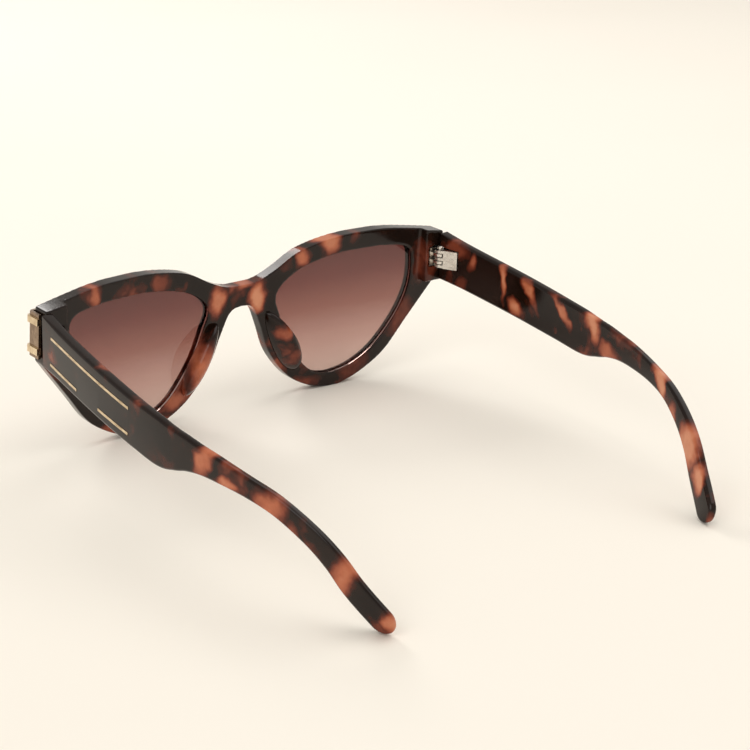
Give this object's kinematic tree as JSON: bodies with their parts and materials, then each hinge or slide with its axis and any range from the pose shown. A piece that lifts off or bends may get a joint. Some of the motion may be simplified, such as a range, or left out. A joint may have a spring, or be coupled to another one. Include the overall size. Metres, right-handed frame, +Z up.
{
  "type": "cat eye sunglasses",
  "caption": "Cat eye sunglasses: a tortoiseshell acetate front with brown gradient lenses, metal corner plaques, and temples with inlaid metal lines that fold on steel hinges.",
  "frame": {"origin": "on the surface the glasses stand on, under the centre of their box", "axes": "+Z up, the front faces -Y, the temples run towards +Y, and the wearer's left is +X"},
  "size_m": [0.1516, 0.1476, 0.0501],
  "materials": {
    "acetate": "polished dark tortoiseshell",
    "lens": "brown gradient tint",
    "hinge_steel": "satin",
    "gold_trim": "pale gold, polished"
  },
  "bodies": {
    "front": {"front_frame": "acetate", "left_lens": "lens", "right_lens": "lens", "left_nose_pad": "acetate", "right_nose_pad": "acetate", "left_endpiece_plaque": "gold_trim", "right_endpiece_plaque": "gold_trim", "left_front_hinge_leaf": "hinge_steel", "right_front_hinge_leaf": "hinge_steel"},
    "left_arm": {"left_temple": "acetate", "left_temple_hinge_leaf": "hinge_steel", "left_hinge_screw": "hinge_steel", "left_core_wire": "hinge_steel", "left_inlay_long": "gold_trim", "left_inlay_front_short": "gold_trim", "left_inlay_rear_short": "gold_trim"},
    "right_arm": {"right_temple": "acetate", "right_temple_hinge_leaf": "hinge_steel", "right_hinge_screw": "hinge_steel", "right_core_wire": "hinge_steel", "right_inlay_long": "gold_trim", "right_inlay_front_short": "gold_trim", "right_inlay_rear_short": "gold_trim"}
  },
  "joints": [
    {"name": "left_temple_fold", "type": "hinge", "parent": "front", "child": "left_arm", "pos_m": [0.0681, -0.05802, 0.039], "axis": [0, 0, 1], "range_deg": [0, 78]},
    {"name": "right_temple_fold", "type": "hinge", "parent": "front", "child": "right_arm", "pos_m": [-0.0681, -0.05802, 0.039], "axis": [0, 0, -1], "range_deg": [0, 86]}
  ]
}
